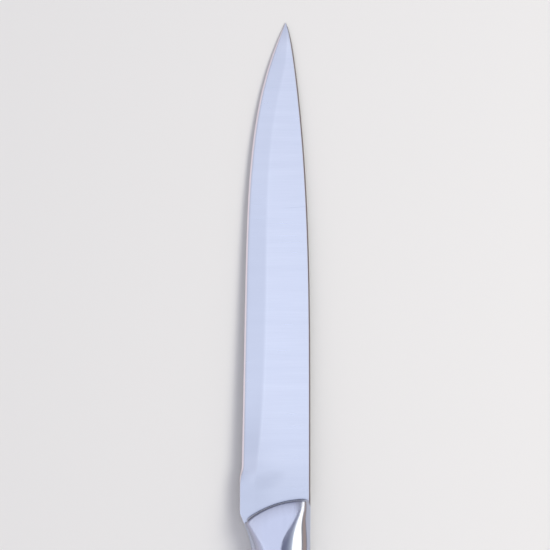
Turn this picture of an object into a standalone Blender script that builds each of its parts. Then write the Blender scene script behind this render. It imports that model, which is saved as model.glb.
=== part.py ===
# Slicing knife with a hollow steel handle, lying on its side as it rests on a table.
# Design frame of every piece: +Y runs from the heel to the tip, X = 0 is the line of the spine,
# -X is towards the cutting edge, and Z = 0 is the plane through the edge that halves the knife.
# All sizes are in metres.

import math

import bmesh
import bpy
import numpy as np
from mathutils import Vector

# Blade outline
BLADE_LENGTH = 0.203            # heel line to tip, along the knife
HEEL_DEPTH = 0.0292             # spine line to the bottom corner of the heel
HEEL_SLOPE = 0.005              # rise of the unground heel edge per unit of length
HEEL_CHAMFER_RUN = 0.0046       # length of the slanted corner behind the heel line
EDGE_START = 0.0195             # where the ground edge begins
EDGE_STEP_RUN = 0.0050          # length over which the heel edge steps up to the ground edge
EDGE_DEPTH = 0.02825            # depth of the ground edge where it begins
EDGE_SLOPE = 0.0187             # rise of the ground edge per unit of length
SWEEP_START = 0.070             # where the edge starts to sweep up to the tip
SWEEP_POWER = 4.2               # how late the sweep comes
SPINE_DROP_START = 0.040        # where the spine starts to fall towards the tip
SPINE_DROP = 0.00885            # how far it falls in its long curve
SPINE_DROP_POWER = 3.0          # how late that fall comes
NOSE_DROP = 0.00135             # and how far more it falls close to the tip
NOSE_DROP_POWER = 40.0          # how late that comes

# Blade thickness and grinds
BLADE_THICKNESS = 0.0022        # at the heel line
TIP_THICKNESS = 0.0012          # of the flats carried on to the tip
POINT_SLOPE = 0.10              # half thickness over width where the point thins out
EDGE_BEVEL_WIDTH = 0.0007       # the sharpened bevel
EDGE_BEVEL_HALF = 0.00020       # half thickness behind it
HEEL_CORNER = 0.00015           # broken corner of the unground heel edge
GRIND_HEEL = 0.0064             # width of the main grind just past its plunge
GRIND_BELLY = 0.0093            # at its widest
GRIND_FORE = 0.0079             # where the edge sweeps up
GRIND_WIDEST_Y = 0.085          # place of that width
GRIND_FORE_Y = 0.175            # where the sweep has narrowed it
GRIND_RISE_POWER = 3.0          # how soon it widens in front of the plunge
GRIND_POINT_SHARE = 0.75        # of the blade's width, beside the point
GRIND_POINT_POWER = 6.0         # how late that share takes over
PLUNGE_START = 0.0105           # where the main grind begins to bite
PLUNGE_END = 0.0190             # where it has its full depth
SPINE_SOFT_WIDTH = 0.0006       # rounding along the spine, across the flat
SPINE_SOFT_DEPTH = 0.0005       # and down the spine
SPINE_SOFT_SHARE = 0.6          # most of the half thickness that it may take

# Root and tang
ROOT_INSET = 0.0070             # root of the blade behind the heel line, inside the bolster
TANG_LENGTH = 0.040             # stub behind the root
TANG_DEPTH = 0.0120             # across the knife
TANG_THICKNESS = 0.0018
TANG_MIDDLE = 0.0120            # middle of the tang below the spine line

# Bolster front, an arc in plan with a rounded shoulder
FRONT_CROWN_Y = 0.0060          # furthest reach of the bolster over the blade
FRONT_CROWN_DEPTH = 0.0025      # its place below the spine line
FRONT_FALL = 0.00855            # how far the arc falls back towards the belly
FRONT_WRAP = 0.0009             # and how far more as it turns round the belly
FRONT_WRAP_POWER = 24           # how late that comes
SHOULDER_ROUND = 0.0015         # rounding of the shoulder's edge at the belly
SHOULDER_BACK_ROUND = 0.0020    # and beside the spine
SHOULDER_GROWTH_POWER = 3.0     # how near to the spine it grows

# Handle lengths, each from the end of the one before, starting at the heel line
BOLSTER_LENGTH = 0.029
PALM_RUN = 0.035                # bolster joint to the middle of the palm
WAIST_RUN = 0.034               # palm to waist
FLARE_RUN = 0.020               # waist to the cap joint
CAP_LENGTH = 0.011

# Handle depths, spine line to belly
BOLSTER_TOP_DEPTH = 0.0273      # at the end of the heel chamfer
BOLSTER_FLARE_POWER = 2.5       # how late the bolster flares out to that
NECK_DEPTH = 0.0233
PALM_DEPTH = 0.0254
WAIST_DEPTH = 0.0231
BUTT_DEPTH = 0.0272
PALM_ARCH = 0.0008              # rise of the back over the palm
WAIST_DIP = 0.0004              # fall of the back at the waist

# Handle section
PALM_THICKNESS = 0.0176         # at the middle of the palm
REST_FACET_LENGTH = 0.030       # true flat on the palm that the knife lies on
FRONT_THINNING = 0.0008         # each side, from the flat to the front of the bolster
WAIST_THINNING = 0.0017         # each side, from the flat to the waist
BELLY_FRONT_ROUND = 0.0016      # radius between belly and facet at the bolster front
BELLY_ROUND = 0.0058            # and along the handle
BELLY_SWELL_START = -0.0020     # where that radius starts to grow
BELLY_SWELL_RUN = 0.0145        # length over which it grows
BELLY_BOW = 0.0003              # how far the belly side leans in at the facet
CREASE_FRONT_DEPTH = 0.0052     # crease between facet and back, at the bolster front
CREASE_DEPTH = 0.0124           # and where it runs along the handle
CREASE_PALM_DEPTH = 0.0096      # and over the palm and waist
CREASE_TURN_START = 0.0030      # where the crease starts to swing over
CREASE_TURN_RUN = 0.0180        # length of the swing
BACK_ARC_FRONT = math.radians(86.0)    # turn of the back's arc at the bolster front
BACK_ARC_START = math.radians(70.0)    # and along the handle, so that the crease is crisp there
RIM_LAND = 0.0004               # square land round the rims of the shells

# Shells, spigots and filling
SHELL_WALL = 0.0012
BOLSTER_SPIGOT = 0.0080
CAP_SPIGOT = 0.0050
CAP_ROUND = 0.0045              # rounding round the butt
CAP_WALL = 0.0018
BEDDING_COVER = 0.0040          # resin behind the end of the tang
PLUG_LENGTH = 0.0070
FIT_GAP = 0.0003                # clearance of one piece inside another
SEAM_GAP = 0.0001               # welded and ground joints
CUT_OVERRUN = 0.005             # how far a cutter reaches past what it cuts

# Steps of the skins
SPINE_STEPS = 2
BACK_STEPS = 8
BELLY_STEPS = 6
SHOULDER_STEPS = 3
CAP_STEPS = 5
FACET_STEPS = 2
BOLSTER_FACET_STEPS = 7
BOLSTER_STEPS = 14
SHELL_STEPS = 26
SPIGOT_STEPS = 4
BEDDING_SECTIONS = 5
SAND_SECTIONS = 16
PLUG_SECTIONS = 4
FRONT_SOLVE_STEPS = 24          # enough to settle the front's arc on each column
WELD = 0.000001
MIRROR_WELD = 0.00001

# Places on the knife that follow from the sizes above
TIP_DROP = SPINE_DROP + NOSE_DROP
HEEL_CHAMFER_Y = -HEEL_CHAMFER_RUN
BOLSTER_JOINT_Y = -BOLSTER_LENGTH
PALM_Y = BOLSTER_JOINT_Y - PALM_RUN
FACET_FRONT_Y = PALM_Y + REST_FACET_LENGTH / 2.0
FACET_REAR_Y = PALM_Y - REST_FACET_LENGTH / 2.0
WAIST_Y = PALM_Y - WAIST_RUN
CAP_JOINT_Y = WAIST_Y - FLARE_RUN
BUTT_Y = CAP_JOINT_Y - CAP_LENGTH
ROOT_Y = -ROOT_INSET
TANG_END_Y = ROOT_Y - TANG_LENGTH
SPIGOT_END_Y = BOLSTER_JOINT_Y - BOLSTER_SPIGOT
CAP_SPIGOT_Y = CAP_JOINT_Y + CAP_SPIGOT
INNER_FIT = SHELL_WALL + FIT_GAP


def clear_scene():
    for old in list(bpy.data.objects):
        bpy.data.objects.remove(old, do_unlink=True)


def new_collection(name):
    collection = bpy.data.collections.new(name)
    bpy.context.scene.collection.children.link(collection)
    return collection


def mix(low, high, share):
    return low + (high - low) * share


def ease(t):
    """Smooth step from 0 to 1."""
    t = min(max(t, 0.0), 1.0)
    return t * t * (3.0 - 2.0 * t)


def turn_over(y, front, rear):
    """Smoother step from 0 in front to 1 behind, without a jump in curvature at its ends."""
    t = min(max((front - y) / (front - rear), 0.0), 1.0)
    return t * t * t * (t * (6.0 * t - 15.0) + 10.0)


# Blade shape

def spine_x(y):
    t = max(y - SPINE_DROP_START, 0.0) / (BLADE_LENGTH - SPINE_DROP_START)
    return -SPINE_DROP * t ** SPINE_DROP_POWER - NOSE_DROP * t ** NOSE_DROP_POWER


def ground_edge_x(y):
    straight = -EDGE_DEPTH + EDGE_SLOPE * (y - EDGE_START)
    straight_at_tip = -EDGE_DEPTH + EDGE_SLOPE * (BLADE_LENGTH - EDGE_START)
    t = max(y - SWEEP_START, 0.0) / (BLADE_LENGTH - SWEEP_START)
    return straight + (-TIP_DROP - straight_at_tip) * t ** SWEEP_POWER


def edge_x(y):
    """Lower outline of the blade, from the root inside the bolster to the tip."""
    if y <= HEEL_CHAMFER_Y:
        return belly_x(y)
    if y <= 0.0:
        return mix(-HEEL_DEPTH, -BOLSTER_TOP_DEPTH, y / HEEL_CHAMFER_Y)
    heel_edge = -HEEL_DEPTH + HEEL_SLOPE * y
    step = ease((y - EDGE_START + EDGE_STEP_RUN) / EDGE_STEP_RUN)
    return mix(heel_edge, ground_edge_x(y), step)


def flat_half(y):
    """Half thickness between the two flats, which taper evenly to the tip."""
    return mix(BLADE_THICKNESS, TIP_THICKNESS, y / BLADE_LENGTH) / 2.0


def blade_half(y):
    """Half thickness of the blade at y, thinned out at the point."""
    return min(flat_half(y), POINT_SLOPE * (spine_x(y) - edge_x(y)))


def grind_width(y):
    """Width of the main grind, eased down to a share of the blade's own width at the point."""
    to_widest = min(max(GRIND_WIDEST_Y - y, 0.0) / (GRIND_WIDEST_Y - PLUNGE_END), 1.0)
    width = mix(GRIND_BELLY, GRIND_HEEL, to_widest ** GRIND_RISE_POWER)
    fore = ease((y - GRIND_WIDEST_Y) / (GRIND_FORE_Y - GRIND_WIDEST_Y))
    width = mix(width, GRIND_FORE, fore)
    widest = GRIND_POINT_SHARE * (spine_x(y) - edge_x(y))
    return widest / (1.0 + (widest / width) ** GRIND_POINT_POWER) ** (1.0 / GRIND_POINT_POWER)


def blade_section(y):
    """Upper half of the blade at y, from the cutting edge to the spine."""
    edge, spine, half = edge_x(y), spine_x(y), blade_half(y)
    thinning = half / flat_half(y)
    bite = ease((y - PLUNGE_START) / (PLUNGE_END - PLUNGE_START))
    bevel = mix(HEEL_CORNER, EDGE_BEVEL_WIDTH, bite) * thinning
    bevel_half = mix(half - HEEL_CORNER, EDGE_BEVEL_HALF * thinning, bite)
    soft_width = SPINE_SOFT_WIDTH * thinning
    soft_depth = min(SPINE_SOFT_DEPTH, SPINE_SOFT_SHARE * half)
    points = [(edge, y, 0.0), (edge + bevel, y, bevel_half), (edge + grind_width(y), y, half)]
    for k in range(SPINE_STEPS + 1):
        turn = math.pi / 2.0 * k / SPINE_STEPS
        points.append((spine - soft_width * (1.0 - math.sin(turn)), y,
                       half - soft_depth * (1.0 - math.cos(turn))))
    points.append((spine, y, 0.0))
    return points


def tang_section(y):
    """Upper half of the tang, with as many points as a section of the blade."""
    low, high = -TANG_MIDDLE - TANG_DEPTH / 2.0, -TANG_MIDDLE + TANG_DEPTH / 2.0
    half = TANG_THICKNESS / 2.0
    across = np.linspace(low, high, SPINE_STEPS + 3)
    return [(low, y, 0.0), *[(float(x), y, half) for x in across], (high, y, 0.0)]


def blade_stations():
    """Places of the blade's sections, closer together at the plunge and towards the tip."""
    root = np.linspace(ROOT_Y, HEEL_CHAMFER_Y, 4)
    chamfer = np.linspace(HEEL_CHAMFER_Y, 0.0, 4)[1:]
    heel = np.linspace(0.0, PLUNGE_START, 4)[1:]
    plunge = np.linspace(PLUNGE_START, PLUNGE_END, 8)[1:]
    body = np.linspace(PLUNGE_END, SWEEP_START, 9)[1:]
    closing = np.sin(np.linspace(0.0, math.pi / 2.0, 23))[1:]
    sweep = mix(SWEEP_START, BLADE_LENGTH, closing)
    return [float(y) for y in [*root, *chamfer, *heel, *plunge, *body, *sweep]]


def rest_slope():
    """Slope of the plane that touches the palm facet and the blade near its tip."""
    return min((PALM_THICKNESS / 2.0 - blade_half(y)) / (y - PALM_Y)
               for y in blade_stations() if y > SWEEP_START)


# Handle shape

REST_SLOPE = rest_slope()


def belly_x(y):
    """Lower outline of the handle, from the heel of the blade to the butt."""
    along_bolster = (y - BOLSTER_JOINT_Y) / (HEEL_CHAMFER_Y - BOLSTER_JOINT_Y)
    flare = max(along_bolster, 0.0) ** BOLSTER_FLARE_POWER
    depth = mix(NECK_DEPTH, BOLSTER_TOP_DEPTH, flare)
    depth += (PALM_DEPTH - NECK_DEPTH) * turn_over(y, BOLSTER_JOINT_Y, PALM_Y)
    depth += (WAIST_DEPTH - PALM_DEPTH) * turn_over(y, PALM_Y, WAIST_Y)
    depth += (BUTT_DEPTH - WAIST_DEPTH) * turn_over(y, WAIST_Y, CAP_JOINT_Y)
    return -depth


def back_x(y):
    """Upper outline of the handle, straight on from the spine and arched over the palm."""
    rise = PALM_ARCH * turn_over(y, BOLSTER_JOINT_Y, PALM_Y)
    fall = (PALM_ARCH + WAIST_DIP) * turn_over(y, PALM_Y, WAIST_Y)
    return rise - fall + WAIST_DIP * turn_over(y, WAIST_Y, CAP_JOINT_Y)


def crease_swing(y):
    """How far the crease has swung over, 0 at the bolster front and 1 along the handle."""
    return ease((CREASE_TURN_START - y) / CREASE_TURN_RUN)


def crease_x(y):
    """Line where the facet breaks into the rounded back."""
    depth = mix(CREASE_FRONT_DEPTH, CREASE_DEPTH, crease_swing(y))
    drift = turn_over(y, BOLSTER_JOINT_Y, PALM_Y) - turn_over(y, WAIST_Y, CAP_JOINT_Y)
    return -depth + (CREASE_DEPTH - CREASE_PALM_DEPTH) * drift


def handle_half(y):
    """Half thickness at the facets, which are true flats over the palm."""
    straight = PALM_THICKNESS / 2.0 - REST_SLOPE * (y - PALM_Y)
    to_front = max(y - FACET_FRONT_Y, 0.0) / (FRONT_CROWN_Y - FACET_FRONT_Y)
    return straight - FRONT_THINNING * to_front ** 2 - WAIST_THINNING * turn_over(y, FACET_REAR_Y, WAIST_Y)


def inset_line(points, inset):
    """Move a half section inwards by inset; its two ends stay on their level."""
    moved = []
    last = len(points) - 1
    for j, (x, z) in enumerate(points):
        if j == 0:
            moved.append((x + inset, z))
        elif j == last:
            moved.append((x - inset, z))
        else:
            before = Vector((x - points[j - 1][0], z - points[j - 1][1])).normalized()
            after = Vector((points[j + 1][0] - x, points[j + 1][1] - z)).normalized()
            across = Vector((before.y + after.y, -before.x - after.x)).normalized()
            reach = inset / across.dot(Vector((before.y, -before.x)))
            moved.append((x + across.x * reach, z + across.y * reach))
    return moved


def belly_round(y):
    """Radius between belly and facet."""
    return mix(BELLY_FRONT_ROUND, BELLY_ROUND, ease((BELLY_SWELL_START - y) / BELLY_SWELL_RUN))


def handle_section(y, inset=0.0, facet_steps=FACET_STEPS):
    """Upper half of the handle at y, (x, z) from the belly over the facet and the back."""
    half, belly, back, crease = handle_half(y), belly_x(y), back_x(y), crease_x(y)
    corner = belly_round(y)

    def bowed(x, z):
        return (x + BELLY_BOW * (z / half) ** 2, z)

    points = [bowed(belly, 0.0), bowed(belly, (half - corner) / 2.0)]
    for k in range(BELLY_STEPS + 1):
        turn = math.pi / 2.0 * k / BELLY_STEPS
        points.append(bowed(belly + corner * (1.0 - math.cos(turn)),
                            half - corner * (1.0 - math.sin(turn))))
    facet_low = points[-1][0]
    points += [(mix(facet_low, crease, k / facet_steps), half) for k in range(1, facet_steps)]
    arc_start = mix(BACK_ARC_FRONT, BACK_ARC_START, crease_swing(y))
    arc_depth = (back - crease) / (1.0 - math.cos(arc_start))
    arc_height = half / math.sin(arc_start)
    for k in range(BACK_STEPS + 1):
        turn = arc_start * (1.0 - k / BACK_STEPS)
        points.append((back - arc_depth * (1.0 - math.cos(turn)), arc_height * math.sin(turn)))
    return inset_line(points, inset)


def section_at(y, inset=0.0, facet_steps=FACET_STEPS):
    return [(x, y, z) for x, z in handle_section(y, inset, facet_steps)]


def drawn_in_section(y, amount):
    """Section at y scaled towards its middle, so that its outline moves in by about that amount."""
    middle = (belly_x(y) + back_x(y)) / 2.0
    across = 1.0 - amount / (back_x(y) - middle)
    up = 1.0 - amount / handle_half(y)
    return [(middle + (x - middle) * across, y, z * up) for x, z in handle_section(y)]


def spigot_rows(front, rear, facet_steps=FACET_STEPS):
    """Sections of a spigot that fits inside the shells between two places."""
    places = np.linspace(front, rear, SPIGOT_STEPS + 1)
    return [section_at(float(y), INNER_FIT, facet_steps) for y in places]


# Building helpers

def loft(name, rows, collection, front_cap=False, rear_cap=False):
    """Skin half sections that run from front to rear and lie on or above the mid plane."""
    mesh = bpy.data.meshes.new(name)
    bm = bmesh.new()
    skin = [[bm.verts.new(point) for point in row] for row in rows]
    for near, far in zip(skin, skin[1:]):
        for j in range(len(near) - 1):
            bm.faces.new((near[j], far[j], far[j + 1], near[j + 1]))
    if front_cap:
        bm.faces.new(skin[0])
    if rear_cap:
        bm.faces.new(skin[-1][::-1])
    bmesh.ops.remove_doubles(bm, verts=bm.verts[:], dist=WELD)
    bmesh.ops.dissolve_degenerate(bm, edges=bm.edges[:], dist=WELD)
    bm.to_mesh(mesh)
    bm.free()
    piece = bpy.data.objects.new(name, mesh)
    collection.objects.link(piece)
    return piece


def mirror_half(piece):
    """Complete a half that is open along the mid plane."""
    mirror = piece.modifiers.new("other_half", "MIRROR")
    mirror.use_axis = (False, False, True)
    mirror.merge_threshold = MIRROR_WELD


def combine(piece, other, operation):
    """Cut other out of piece, or join it on."""
    boolean = piece.modifiers.new(operation.lower() + "_" + other.name, "BOOLEAN")
    boolean.operation = operation
    boolean.solver = "EXACT"
    boolean.object = other


def box_cutter(name, low, high, collection):
    """A box between two corners that only cuts."""
    mesh = bpy.data.meshes.new(name)
    bm = bmesh.new()
    bmesh.ops.create_cube(bm, size=1.0)
    low, high = Vector(low), Vector(high)
    for vert in bm.verts:
        vert.co = Vector([mix(low[i], high[i], vert.co[i] + 0.5) for i in range(3)])
    bm.to_mesh(mesh)
    bm.free()
    cutter = bpy.data.objects.new(name, mesh)
    cutter.hide_render = True
    cutter.display_type = "WIRE"
    collection.objects.link(cutter)
    return cutter


def finish(name, colour, metallic, roughness):
    material = bpy.data.materials.new(name)
    material.use_nodes = True
    shader = material.node_tree.nodes["Principled BSDF"]
    shader.inputs["Base Color"].default_value = (*colour, 1.0)
    shader.inputs["Metallic"].default_value = metallic
    shader.inputs["Roughness"].default_value = roughness
    return material


def dress(piece, material, sharp_angle=math.radians(25.0)):
    piece.data.materials.append(material)
    piece.data.shade_smooth()
    piece.data.set_sharp_from_angle(angle=sharp_angle)


# Pieces

def make_blade(parts):
    """Ground blade with its stub tang in one piece."""
    stations = blade_stations()[::-1]
    rows = [blade_section(y) for y in stations]
    rows += [tang_section(ROOT_Y), tang_section(TANG_END_Y)]
    blade = loft("blade", rows, parts, rear_cap=True)
    mirror_half(blade)
    dress(blade, finish("blade_steel", (0.62, 0.66, 0.76), 1.0, 0.34), math.radians(3.0))
    return blade


def front_y(x):
    """Plan of the bolster's front edge."""
    reach = (-FRONT_CROWN_DEPTH - x) / (BOLSTER_TOP_DEPTH - FRONT_CROWN_DEPTH)
    return FRONT_CROWN_Y - FRONT_FALL * reach ** 2 - FRONT_WRAP * reach ** FRONT_WRAP_POWER


def make_bolster(parts, cutters):
    """Cast bolster: arc front with a rounded shoulder, slotted for the blade, spigot behind."""
    def point_at(j, y, inset=0.0):
        x, z = handle_section(y, inset, BOLSTER_FACET_STEPS)[j]
        return (x, y, z)

    columns = range(len(handle_section(0.0, 0.0, BOLSTER_FACET_STEPS)))
    starts = []
    for j in columns:
        y = 0.0
        for _ in range(FRONT_SOLVE_STEPS):
            y = front_y(point_at(j, y)[0])
        starts.append(y)
    rounds = []
    for j in columns:
        to_spine = 1.0 + point_at(j, starts[j])[0] / BOLSTER_TOP_DEPTH
        rounds.append(mix(SHOULDER_ROUND, SHOULDER_BACK_ROUND, max(to_spine, 0.0) ** SHOULDER_GROWTH_POWER))

    def shoulder_row(turn):
        back_off, inset = 1.0 - math.sin(turn), 1.0 - math.cos(turn)
        return [point_at(j, starts[j] - rounds[j] * back_off, rounds[j] * inset) for j in columns]

    rows = [shoulder_row(math.pi / 2.0 * (1.0 - k / SHOULDER_STEPS)) for k in range(SHOULDER_STEPS + 1)]
    rows.insert(0, [(x, y, 0.0) for x, y, _ in rows[0]])
    for k in range(1, BOLSTER_STEPS + 1):
        rows.append([point_at(j, mix(starts[j] - rounds[j], BOLSTER_JOINT_Y, k / BOLSTER_STEPS))
                     for j in columns])
    rows += spigot_rows(BOLSTER_JOINT_Y, SPIGOT_END_Y, BOLSTER_FACET_STEPS)
    bolster = loft("bolster", rows, parts, rear_cap=True)
    mirror_half(bolster)

    slot_half = BLADE_THICKNESS / 2.0 + FIT_GAP
    slot = box_cutter("blade_slot", (-BOLSTER_TOP_DEPTH - CUT_OVERRUN, ROOT_Y - FIT_GAP, -slot_half),
                      (CUT_OVERRUN, FRONT_CROWN_Y + CUT_OVERRUN, slot_half), cutters)
    combine(slot, tang_cutter("tang_slot", SPIGOT_END_Y - CUT_OVERRUN, cutters), "UNION")
    combine(bolster, slot, "DIFFERENCE")
    dress(bolster, finish("bolster_steel", (0.60, 0.63, 0.72), 1.0, 0.22))
    return bolster


def tang_cutter(name, end_y, cutters):
    """Clearance for the tang, from inside the blade's slot back to end_y."""
    reach = TANG_DEPTH / 2.0 + FIT_GAP
    half = TANG_THICKNESS / 2.0 + FIT_GAP
    return box_cutter(name, (-TANG_MIDDLE - reach, end_y, -half),
                      (-TANG_MIDDLE + reach, ROOT_Y + FIT_GAP, half), cutters)


def shell_places():
    """Places of a shell's sections, with a short square land at each end."""
    front, rear = BOLSTER_JOINT_Y - SEAM_GAP, CAP_JOINT_Y + SEAM_GAP
    between = np.linspace(front - RIM_LAND, rear + RIM_LAND, SHELL_STEPS + 1)
    return [front, *[float(y) for y in between], rear]


def make_shell(name, side, parts):
    """Pressed half shell of the handle; side is +1 above the mid plane and -1 below it."""
    rows = []
    for y in shell_places():
        points = section_at(y)
        first, last = points[0], points[-1]
        points[0] = (first[0], y, SEAM_GAP / 2.0)
        points[-1] = (last[0], y, SEAM_GAP / 2.0)
        points.insert(1, (first[0], y, RIM_LAND))
        points.insert(len(points) - 1, (last[0], y, RIM_LAND))
        row = [(x, place, z * side) for x, place, z in points]
        rows.append(row if side > 0 else row[::-1])
    shell = loft(name, rows, parts)
    wall = shell.modifiers.new("wall", "SOLIDIFY")
    wall.thickness = SHELL_WALL
    wall.offset = -1.0
    wall.use_even_offset = True
    wall.use_quality_normals = True
    dress(shell, finish(name + "_steel", (0.60, 0.63, 0.72), 1.0, 0.24))
    return shell


def make_cap(parts, cutters):
    """Hollow cast butt cap with a rounded end, its spigot inside the shells."""
    rows = spigot_rows(CAP_SPIGOT_Y, CAP_JOINT_Y) + [section_at(CAP_JOINT_Y)]
    for k in range(CAP_STEPS + 1):
        turn = math.pi / 2.0 * k / CAP_STEPS
        rows.append(drawn_in_section(BUTT_Y + CAP_ROUND * (1.0 - math.sin(turn)),
                                     CAP_ROUND * (1.0 - math.cos(turn))))
    cap = loft("butt_cap", rows, parts, front_cap=True, rear_cap=True)
    mirror_half(cap)
    hollow_rows = [drawn_in_section(CAP_SPIGOT_Y + CUT_OVERRUN, INNER_FIT + CAP_WALL),
                   drawn_in_section(CAP_JOINT_Y - CAP_WALL, INNER_FIT + CAP_WALL),
                   drawn_in_section(BUTT_Y + CAP_WALL, CAP_ROUND + CAP_WALL)]
    hollow = loft("cap_hollow", hollow_rows, cutters, front_cap=True, rear_cap=True)
    hollow.hide_render = True
    hollow.display_type = "WIRE"
    mirror_half(hollow)
    combine(cap, hollow, "DIFFERENCE")
    dress(cap, finish("cap_steel", (0.60, 0.63, 0.72), 1.0, 0.22))
    return cap


def make_filling(name, front, rear, sections, parts, material):
    """A body that fills the hollow handle between two places."""
    rows = [section_at(float(y), INNER_FIT) for y in np.linspace(front, rear, sections)]
    body = loft(name, rows, parts, front_cap=True, rear_cap=True)
    mirror_half(body)
    dress(body, material)
    return body


def make_filling_bodies(parts, cutters):
    bed_front = SPIGOT_END_Y - FIT_GAP
    bed_rear = TANG_END_Y - BEDDING_COVER
    plug_rear = CAP_SPIGOT_Y + FIT_GAP
    plug_front = plug_rear + PLUG_LENGTH
    bedding = make_filling("tang_bedding", bed_front, bed_rear, BEDDING_SECTIONS, parts,
                           finish("bedding_resin", (0.30, 0.24, 0.15), 0.0, 0.55))
    combine(bedding, tang_cutter("tang_pocket", TANG_END_Y - FIT_GAP, cutters), "DIFFERENCE")
    fill = make_filling("sand_fill", bed_rear - FIT_GAP, plug_front + FIT_GAP, SAND_SECTIONS, parts,
                        finish("fill_sand", (0.52, 0.42, 0.28), 0.0, 0.95))
    plug = make_filling("fill_plug", plug_front, plug_rear, PLUG_SECTIONS, parts,
                        finish("plug_rubber", (0.05, 0.05, 0.05), 0.0, 0.8))
    return [bedding, fill, plug]


def lay_on_table(pieces, parts, cutters):
    """Tip the knife until its palm facet and its point touch the table, centred over the origin."""
    rest = bpy.data.objects.new("knife_at_rest", None)
    parts.objects.link(rest)
    for carried in [*pieces, *cutters.objects]:
        carried.parent = rest
    rest.rotation_euler.x = -math.atan(REST_SLOPE)
    bpy.context.view_layer.update()
    depsgraph = bpy.context.evaluated_depsgraph_get()
    corners = []
    for piece in pieces:
        seen = piece.evaluated_get(depsgraph)
        corners += [seen.matrix_world @ vert.co for vert in seen.data.vertices]
    low = Vector([min(corner[i] for corner in corners) for i in range(3)])
    high = Vector([max(corner[i] for corner in corners) for i in range(3)])
    rest.location = (-(low.x + high.x) / 2.0, -(low.y + high.y) / 2.0, -low.z)


clear_scene()
knife_parts = new_collection("slicing_knife")
knife_cutters = new_collection("cutters")
knife = [make_blade(knife_parts), make_bolster(knife_parts, knife_cutters)]
knife += [make_shell("left_handle_shell", 1, knife_parts), make_shell("right_handle_shell", -1, knife_parts)]
knife.append(make_cap(knife_parts, knife_cutters))
knife += make_filling_bodies(knife_parts, knife_cutters)
lay_on_table(knife, knife_parts, knife_cutters)
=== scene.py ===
# Slicing knife with a ground steel blade and a hollow steel handle, lying on its side on a pale table.
# Every piece is made upright in the knife's own frame and then laid down: there +Y runs from the heel
# to the tip, X = 0 is the line of the spine, -X is towards the cutting edge, and Z = 0 halves the knife.

import math

import bpy
import numpy as np
from mathutils import Matrix, Vector


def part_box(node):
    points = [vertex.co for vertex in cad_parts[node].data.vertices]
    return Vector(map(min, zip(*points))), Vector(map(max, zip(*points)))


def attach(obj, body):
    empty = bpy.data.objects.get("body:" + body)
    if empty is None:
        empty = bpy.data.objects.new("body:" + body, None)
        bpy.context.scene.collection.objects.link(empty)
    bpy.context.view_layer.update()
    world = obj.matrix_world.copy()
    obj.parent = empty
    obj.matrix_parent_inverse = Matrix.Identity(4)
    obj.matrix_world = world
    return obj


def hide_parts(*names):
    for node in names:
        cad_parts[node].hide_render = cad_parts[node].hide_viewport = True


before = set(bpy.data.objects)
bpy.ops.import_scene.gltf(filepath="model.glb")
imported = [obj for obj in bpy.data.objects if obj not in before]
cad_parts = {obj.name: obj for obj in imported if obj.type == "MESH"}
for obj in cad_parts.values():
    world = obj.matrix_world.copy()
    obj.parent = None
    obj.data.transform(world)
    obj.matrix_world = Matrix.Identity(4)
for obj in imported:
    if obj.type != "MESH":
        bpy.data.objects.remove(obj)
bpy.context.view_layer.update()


# Blade
# One bar of stainless steel, cut to outline and ground from both sides down to a narrow edge bevel.
# The flats are satin from a belt that ran across the blade; the grind ends in a plunge at the heel.
# Its tang sits in the handle in resin, and its root in the slot of the bolster.

blade_sizes = {
    "Blade length": 0.203, "Heel depth": 0.0292, "Heel slope": 0.005, "Chamfer run": 0.0046,
    "Edge start": 0.0195, "Edge step": 0.0050, "Edge depth": 0.02825, "Edge slope": 0.0187,
    "Sweep start": 0.070, "Sweep power": 4.2, "Spine drop start": 0.040, "Spine drop": 0.00885,
    "Spine drop power": 3.0, "Nose drop": 0.00135, "Nose power": 40.0,
    "Heel thickness": 0.0022, "Tip thickness": 0.0012, "Point slope": 0.10, "Point blend": 0.0004,
    "Bevel width": 0.0007, "Bevel half": 0.00020, "Heel corner": 0.00015,
    "Grind at heel": 0.0064, "Grind at belly": 0.0093, "Grind forward": 0.0079,
    "Grind widest": 0.085, "Grind narrowed": 0.175, "Grind rise": 3.0, "Grind share": 0.75,
    "Plunge start": 0.0105, "Plunge end": 0.0190,
    "Spine round width": 0.0006, "Spine round depth": 0.0005, "Spine round share": 0.6,
    "Spine round start": 0.0025, "Spine round full": 0.0050,
    "Root inset": 0.0070, "Tang length": 0.040, "Tang depth": 0.0120, "Tang thickness": 0.0018,
    "Tang middle": 0.0120, "Root depth": 0.0273, "Neck depth": 0.0233, "Neck place": 0.029,
    "Neck power": 2.5,
}
across_blade = {"bevel": 3, "grind": 14, "flat": 16, "chamfer": 3, "land": 2}
along_blade = {"end": 1, "tang": 1, "root": 1, "slot": 3, "chamfer": 5, "heel": 8, "plunge": 40,
               "body": 60, "sweep": 150}

palm_half = 0.0088              # half the handle's thickness at the palm, on which the knife lies
palm_y = -0.064
palm_arch = 0.0008
rest_slope = 0.0316538          # of the knife's mid plane, from the palm down to the point
rest_turn = math.atan(rest_slope)
rest_place = Vector(((blade_sizes["Heel depth"] - palm_arch) / 2,
                     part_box("blade")[1].y - blade_sizes["Blade length"] * math.cos(rest_turn),
                     palm_half * math.cos(rest_turn) + palm_y * math.sin(rest_turn)))


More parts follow.
